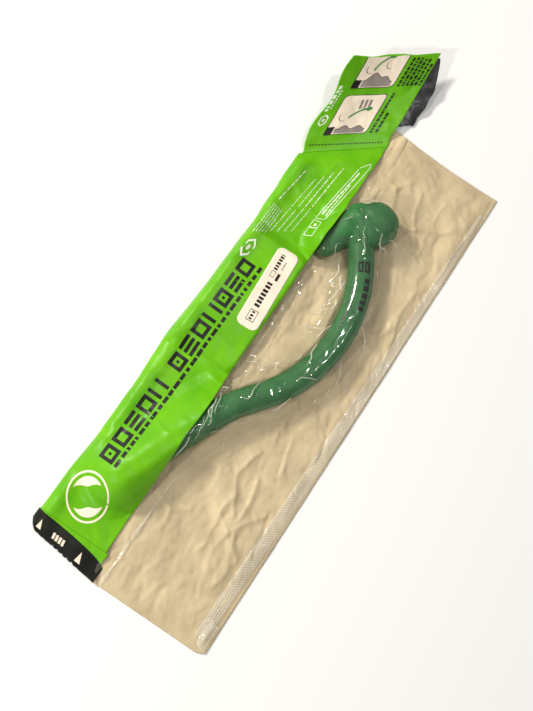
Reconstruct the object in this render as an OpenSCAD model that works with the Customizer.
// Nasal airway in a sealed peel pouch: a curved rubber airway with a trumpet flange and a sachet of
// lubricating jelly, held between an opaque back web and a clear front film. A printed panel covers the
// long fold, ends in a peel tab at one end and runs on past a slanting tear line into an instruction header.
// The pouch lies flat on z = 0. X runs from the tab end to the header, Y from the ribbed edge to the fold.

/* [Pouch] */
// Length of the sealed pouch
pouch_l = 192; // [180:1:205]
// Width of the pouch from the ribbed edge to the fold
pouch_w = 70; // [68:1:76]
// Width of the clear window between the ribbed edge and the printed panel
window_w = 45; // [44:1:47]
// Thickness of the opaque back web
web_t = 0.3; // [0.2:0.05:0.4]
// Thickness of the front film, the panel and the header
film_t = 0.25; // [0.15:0.05:0.3]
// Free gap between layers that part when the pouch is opened
layer_gap = 0.3; // [0.25:0.05:0.4]
// Width of the ribbed side seal
seal_w = 4.5; // [3:0.5:6]
// Margin of plain film outside the ribbed seal
seal_margin = 1.6; // [1:0.1:2.5]
// Spacing of the seal's ribs
rib_pitch = 1.6; // [1.2:0.1:3]
// Width of the smooth end seal at the tab end
end_seal_w = 4; // [3:0.5:6]

/* [Printed panel] */
// Length of the peel tab
tab_l = 10; // [8:0.5:12]
// How far the tab's end slants over the panel's width
tab_slant = 4.5; // [0:0.5:6]
// Where the tear line meets the window edge of the panel
tear_x = 184; // [180:1:186]
// How far the tear line runs back for each millimetre across
tear_slope = 0.87; // [0.6:0.01:0.95]
// Gap between the panel and the header along the tear line
tear_gap = 0.5; // [0.4:0.1:1]
// Length and width of the lot label
label_size = [34, 8.5]; // [6:0.5:40]

/* [Header] */
// Far corner of the header on the window side
header_right = [224, 48.2, 7]; // [5:0.1:230]
// Far corner of the header on the fold side
header_left = [198.6, 72.6, 14]; // [5:0.1:210]
// Free corner of the folded end on the window side
end_right = [197, 41.5, 0.9]; // [0.5:0.1:200]
// Free corner of the folded end on the fold side
end_left = [182, 66, 1.6]; // [0.5:0.1:190]

/* [Airway] */
// Outside diameter of the tube, 28 French
tube_d = 9.33; // [8:0.01:10]
// Wall thickness of the tube
tube_wall = 1.4; // [1:0.1:2]
// Point on the tube's axis where it leaves the flange
tube_start = [151.4, 37.5]; // [30:0.1:160]
// Heading of the tube there, anticlockwise from +X
tube_heading = 214; // [210:1:218]
// Straight length at the flange
tube_in = 13.5; // [12:0.5:15]
// Radius of the main bend
bend_r = 51; // [50:1:53]
// Turn of the main bend
bend_turn = 74.5; // [72:0.5:76]
// Radius of the counter bend
counter_r = 52; // [50:1:54]
// Turn of the counter bend
counter_turn = 18; // [16:1:20]
// Straight length at the tip
tube_out = 34; // [30:1:36]
// Height of the tube's axis above the table
tube_z = 5.55; // [5.5:0.05:5.8]
// Radius of the rounded end of the flange
dome_r = 6.4; // [6:0.1:6.5]
// Radius of the flange's pressed-down arm
arm_r = 4; // [3.5:0.1:4.2]

/* [Sachet] */
// Length, width and filled height of the jelly sachet
sachet_size = [42, 20, 3]; // [2:0.5:50]
// Width of the sachet's sealed rim
sachet_rim = 3; // [2:0.5:4]
// Thickness of the sachet's foils
foil_t = 0.2; // [0.1:0.05:0.3]

/* [Hidden] */
$fn = 64;
middle = [header_right.x / 2, header_left.y / 2, 0];

// Heights of the layers over the bare web
film_z = web_t + layer_gap;
panel_gap = film_t + layer_gap;
panel_z = film_z + panel_gap;
hinge_z = panel_z + film_t;

// The film's grid, and its margin inside the web's edge
film_inset = 0.4;
tab_columns = 2;
columns = 40;
window_rows = 11;
panel_rows = 7;
panel_start = tab_l + tear_gap;

// The web is trimmed a little inside the panel's fold and past the tear line
web_inset = 1;
web_past_tear = 9;

// Points on the tear line
tear_right = [tear_x, window_w];
tear_left = [tear_x - tear_slope * (pouch_w - window_w), pouch_w];

// Flange: the rounded end and the end of the arm, with their heights
dome_at = [156.2, 34, web_t + dome_r + 0.2];
arm_at = [138.8, 42.4, web_t + arm_r + 0.4];
arm_end_r = arm_r + 0.15;

// The two spheres are turned so that their seams face away from the tube
dome_seam = 304;
arm_seam = 159;

// Collar round the tube's end
collar_l = 10;
collar_t = 0.5;

// Sachet: the corner nearest the tab, and the height of its back foil
sachet_at = [84, 47.5];
foil_z = web_t + 0.2;

// Room that the film leaves over each thing that it covers: its height, the half width that stays level,
// and the half width where it is down on the web again
over_tube = [tube_z + tube_d / 2 + collar_t + 0.5 - film_z, 3, 13];
over_dome = [dome_at.z + dome_r + 0.6 - film_z, 5.5, 17.5];
over_arm = [arm_at.z + arm_end_r + 0.7 - film_z, 3.5, 13];
over_sachet = [foil_z + sachet_size.z + 0.9 - film_z, 1, 8];

// The tube's two bends end here
bend_start = tube_start + tube_in * heading(tube_heading);
bend_centre = bend_start + bend_r * heading(tube_heading - 90);
bend_end_heading = tube_heading - bend_turn;
bend_end = bend_centre - bend_r * heading(bend_end_heading - 90);
counter_centre = bend_end + counter_r * heading(bend_end_heading + 90);
tip_heading = bend_end_heading + counter_turn;
counter_end = counter_centre - counter_r * heading(tip_heading + 90);
tip = counter_end + tube_out * heading(tip_heading);
tip_bevel = 30;

// The tube's stretches meet in fine rings, this long and this proud; a bend stops this many degrees short
knit_l = 0.4;
knit_t = 0.05;
knit_trim = 0.06;

// The tube's axis as points close enough together to measure the distance to
axis_points = concat(
    [tube_start],
    [for (i = [0:16]) bend_centre - bend_r * heading(tube_heading - bend_turn * i / 16 - 90)],
    [for (i = [1:4]) counter_centre - counter_r * heading(bend_end_heading + counter_turn * i / 4 + 90)],
    [tip]
);

function heading(a) = [cos(a), sin(a)];
function tear_line(y) = tear_x - tear_slope * (y - window_w);

// Distance from a point to the piece of line between a and b
function to_line(p, a, b) =
    let (d = b - a, t = max(0, min(1, ((p - a) * d) / (d * d))))
    norm(p - a - t * d);
function to_axis(p) = min([for (i = [1:len(axis_points) - 1]) to_line(p, axis_points[i - 1], axis_points[i])]);
function to_sachet(p) =
    norm([max(sachet_at.x - p.x, 0, p.x - sachet_at.x - sachet_size.x),
          max(sachet_at.y - p.y, 0, p.y - sachet_at.y - sachet_size.y)]);

// Points of the grid that the film and the panel share, so that they stay one gap apart: a column counts
// from the panel's start to the tear line or the pouch's end, and a row from the ribbed edge to the fold
function row_y(j) =
    j <= window_rows ? film_inset + (window_w - film_inset) * j / window_rows
                     : window_w + (pouch_w - window_w) * (j - window_rows) / panel_rows;
function front_point(i, j) =
    let (y = row_y(j), end = min(pouch_l - film_inset, tear_line(y)))
    [panel_start + (end - panel_start) * i / columns, y];
function tab_point(i, j) =
    let (y = row_y(j), start = film_inset + max(0, tab_slant * (y - window_w) / (pouch_w - window_w)))
    [start + (panel_start - start) * i / tab_columns, y];

// A smooth shoulder: over.x high as far as over.y, and down to nothing at over.z
function shoulder(d, over) =
    d <= over.y ? over.x : d >= over.z ? 0 : over.x * (1 + cos(180 * (d - over.y) / (over.z - over.y))) / 2;

// Height of the film's underside over a point of the web
function film_height(p) = film_z + max(
    shoulder(to_axis(p), over_tube),
    shoulder(norm(p - [dome_at.x, dome_at.y]), over_dome),
    shoulder(to_line(p, [arm_at.x, arm_at.y], tube_start), over_arm),
    shoulder(to_sachet(p), over_sachet)
);

// A sheet of thickness t over nx by ny cells; at(u, v) is the point of its underside
module sheet(nx, ny, t, at) {
    row = nx + 1;
    layer = row * (ny + 1);
    points = [
        for (k = [0, 1], j = [0:ny], i = [0:nx])
            let (p = at(i / nx, j / ny)) [p.x, p.y, p.z + k * t]
    ];
    upper = [
        for (j = [0:ny - 1], i = [0:nx - 1])
            let (a = layer + j * row + i)
            each [[a, a + row, a + row + 1], [a, a + row + 1, a + 1]]
    ];
    lower = [
        for (j = [0:ny - 1], i = [0:nx - 1])
            let (a = j * row + i)
            each [[a, a + row + 1, a + row], [a, a + 1, a + row + 1]]
    ];
    front = [
        for (i = [0:nx - 1])
            each [[i, i + layer, i + layer + 1], [i, i + layer + 1, i + 1]]
    ];
    back = [
        for (i = [0:nx - 1])
            let (a = ny * row + i)
            each [[a, a + layer + 1, a + layer], [a, a + 1, a + layer + 1]]
    ];
    near = [
        for (j = [0:ny - 1])
            let (a = j * row, b = a + row)
            each [[b, b + layer, a + layer], [b, a + layer, a]]
    ];
    far = [
        for (j = [0:ny - 1])
            let (a = j * row + nx, b = a + row)
            each [[a, a + layer, b + layer], [a, b + layer, b]]
    ];
    polyhedron(points, concat(upper, lower, front, back, near, far), convexity = 6);
}

// A straight round rod from a to b
module rod(a, b, r) {
    d = b - a;
    translate(a)
        rotate([0, acos(d.z / norm(d)), atan2(d.y, d.x)])
            cylinder(r = r, h = norm(d));
}

// Section of the tube's wall, proud of it by t inside and out
module tube_section(t = 0) {
    difference() {
        circle(r = tube_d / 2 + t);
        circle(r = tube_d / 2 - tube_wall - t);
    }
}

// A straight stretch of the tube's wall, from a point of its axis
module tube_straight(a, direction, l, t = 0) {
    translate([a.x, a.y, tube_z])
        rotate([0, 90, direction])
            linear_extrude(l)
                tube_section(t);
}

// A level bend of the tube, from angle a0 round its centre through a degrees anticlockwise
module tube_bend(centre, r, a0, a) {
    translate([centre.x, centre.y, tube_z])
        rotate([0, 0, a0 + knit_trim])
            rotate_extrude(angle = a - 2 * knit_trim)
                translate([r, 0])
                    tube_section();
}

// A fine ring that moulds two stretches of the tube together
module knit_ring(a, direction) {
    tube_straight(a - knit_l / 2 * heading(direction), direction, knit_l, knit_t);
}

module rounded_block(size, r) {
    linear_extrude(size.z)
        polygon([
            for (c = [[size.x - r, size.y - r, 0], [r, size.y - r, 90], [r, r, 180], [size.x - r, r, 270]])
                for (a = [0:30:90])
                    [c.x, c.y] + r * heading(c.z + a)
        ]);
}

// Opaque tan laminate that the pouch lies on
module back_web() {
    color("tan")
        linear_extrude(web_t)
            polygon([
                [1.5, 0], [pouch_l, 0],
                [pouch_l - 1, pouch_w / 4], [pouch_l, window_w - 2],
                [tear_left.x + web_past_tear, pouch_w - web_inset],
                [tab_slant + 1, pouch_w - web_inset],
                [1, window_w], [0, window_w - 2], [0, 2]
            ]);
}

// Narrow strip of film left sealed to the web past the tear line, under the header
module upper_seal_band() {
    start = tear_gap;
    end = web_past_tear - 2;
    color("wheat")
        translate([0, 0, web_t])
            linear_extrude(film_t)
                polygon([
                    [tear_line(window_w) + start, window_w], [tear_line(window_w) + end, window_w],
                    [tear_line(pouch_w - 2) + end, pouch_w - 2], [tear_line(pouch_w - 2) + start, pouch_w - 2]
                ]);
}

// Clear film formed over the airway and the sachet, cut off at the tear line
module front_film() {
    color("whitesmoke", 0.4)
        sheet(tab_columns + columns, window_rows + panel_rows, film_t, function (u, v)
            let (
                i = round(u * (tab_columns + columns)),
                j = round(v * (window_rows + panel_rows)),
                p = i < tab_columns ? tab_point(i, j) : front_point(i - tab_columns, j)
            )
            [p.x, p.y, film_height(p)]);
}

// Fused band along the open edge, pressed into fine cross ribs
module side_seal_band() {
    first = end_seal_w + 2;
    ribs = floor((pouch_l - 2 * first) / rib_pitch);
    rib_h = 0.35;
    base_h = 0.15;
    color("beige")
        translate([first, seal_margin + seal_w, film_z + film_t])
            rotate([90, 0, 0])
                linear_extrude(seal_w)
                    polygon(concat(
                        [[0, 0]],
                        [for (i = [0:ribs - 1]) each [
                            [i * rib_pitch, base_h], [(i + 0.5) * rib_pitch, rib_h]]],
                        [[ribs * rib_pitch, base_h], [ribs * rib_pitch, 0]]
                    ));
}

// Smooth fused band across the tab end of the window
module lower_seal_band() {
    color("beige")
        translate([1, seal_margin, film_z + film_t])
            cube([end_seal_w, window_w - 2 * seal_margin, 0.15]);
}

// Printed panel over the fold side of the front, from the tab to the tear line
module printed_panel() {
    color("yellowgreen")
        sheet(columns, panel_rows, film_t, function (u, v)
            let (p = front_point(round(u * columns), window_rows + round(v * panel_rows)))
            [p.x, p.y, film_height(p) + panel_gap]);
}

// Blank lot label stuck on the panel
module lot_label() {
    corner = [95, window_w + 1.2];
    label_gap = 0.4;
    color("linen")
        sheet(9, 3, 0.12, function (u, v)
            let (p = corner + [u * label_size.x, v * label_size.y])
            [p.x, p.y, film_height(p) + panel_gap + film_t + label_gap]);
}

// Black tab at the end of the panel, for gripping and peeling
module peel_tab() {
    color("dimgray")
        translate([0, 0, panel_z])
            linear_extrude(film_t)
                polygon([
                    [0.2, window_w], [tab_l, window_w], [tab_l, pouch_w],
                    [tab_slant + 2, pouch_w], [tab_slant, pouch_w - 2]
                ]);
}

// Instruction header past the tear line, curling up towards its far corners
module instruction_header() {
    curl = 1.3;
    start_right = [tear_right.x + tear_gap, tear_right.y, panel_z];
    start_left = [tear_left.x + tear_gap, tear_left.y, panel_z];
    color("yellowgreen")
        sheet(10, 8, film_t, function (u, v)
            let (
                a = start_right + v * (start_left - start_right),
                b = header_right + v * (header_left - header_right)
            )
            [a.x + u * (b.x - a.x), a.y + u * (b.y - a.y), a.z + pow(u, curl) * (b.z - a.z)]);
}

// End of the header, folded back under it
module folded_end() {
    fold_gap = 0.75;
    drop = [0, 0, film_t + fold_gap];
    back_off = 0.03;
    color("dimgray")
        sheet(6, 6, film_t, function (u, v)
            let (
                a = header_right - drop + v * (header_left - header_right),
                b = end_right + v * (end_left - end_right),
                w = back_off + u * (1 - back_off)
            )
            a + w * (b - a));
}

// Soft green tube of the airway, curved in the plane of the pouch, bevelled at the tip
module airway_tube() {
    color("seagreen")
        difference() {
            union() {
                tube_straight(tube_start - collar_l / 2 * heading(tube_heading), tube_heading,
                              tube_in + collar_l / 2);
                tube_bend(bend_centre, bend_r, tube_heading + 90 - bend_turn, bend_turn);
                tube_bend(counter_centre, counter_r, bend_end_heading - 90, counter_turn);
                tube_straight(counter_end, tip_heading, tube_out);
                knit_ring(bend_start, tube_heading);
                knit_ring(bend_end, bend_end_heading);
                knit_ring(counter_end, tip_heading);
            }
            translate([tip.x, tip.y, tube_z])
                rotate([0, 0, tip_heading + tip_bevel])
                    translate([0, -20, -20])
                        cube(40);
        }
}

// Trumpet flange, moulded round the tube's end: a rounded end and a pressed-down arm
module airway_flange() {
    root = [tube_start.x, tube_start.y, tube_z];
    along = [cos(tube_heading), sin(tube_heading), 0];
    color("seagreen")
        difference() {
            union() {
                translate(dome_at)
                    rotate([0, 0, dome_seam])
                        sphere(r = dome_r);
                rod(root - collar_l / 2 * along, root + collar_l / 2 * along, tube_d / 2 + collar_t);
                rod(root, arm_at, arm_r);
                translate(arm_at)
                    rotate([0, 0, arm_seam])
                        sphere(r = arm_end_r);
            }
            rod(root - 12 * along, root + 12 * along, tube_d / 2);
        }
}

// Back foil of the jelly sachet
module sachet_back_foil() {
    color("silver")
        translate([sachet_at.x, sachet_at.y, foil_z])
            rounded_block([sachet_size.x, sachet_size.y, foil_t], 1.5);
}

// Jelly between the sachet's foils
module lubricant_jelly() {
    color("aliceblue")
        translate([sachet_at.x + sachet_rim, sachet_at.y + sachet_rim, foil_z + foil_t])
            rounded_block([sachet_size.x - 2 * sachet_rim, sachet_size.y - 2 * sachet_rim,
                           sachet_size.z - 2 * foil_t], 3);
}

// Front foil of the sachet, raised over the jelly
module sachet_front_foil() {
    rim = sachet_rim - foil_t;
    color("silver")
        translate([sachet_at.x, sachet_at.y, foil_z + foil_t])
            difference() {
                union() {
                    rounded_block([sachet_size.x, sachet_size.y, foil_t], 1.5);
                    translate([rim, rim, 0])
                        rounded_block([sachet_size.x - 2 * rim, sachet_size.y - 2 * rim,
                                       sachet_size.z - foil_t], 3 + foil_t);
                }
                translate([sachet_rim, sachet_rim, -1])
                    rounded_block([sachet_size.x - 2 * sachet_rim, sachet_size.y - 2 * sachet_rim,
                                   sachet_size.z - 2 * foil_t + 1], 3);
            }
}

translate(-middle) {
    back_web();
    upper_seal_band();
    front_film();
    side_seal_band();
    lower_seal_band();
    printed_panel();
    lot_label();
    peel_tab();
    instruction_header();
    folded_end();
    airway_tube();
    airway_flange();
    sachet_back_foil();
    lubricant_jelly();
    sachet_front_foil();
}
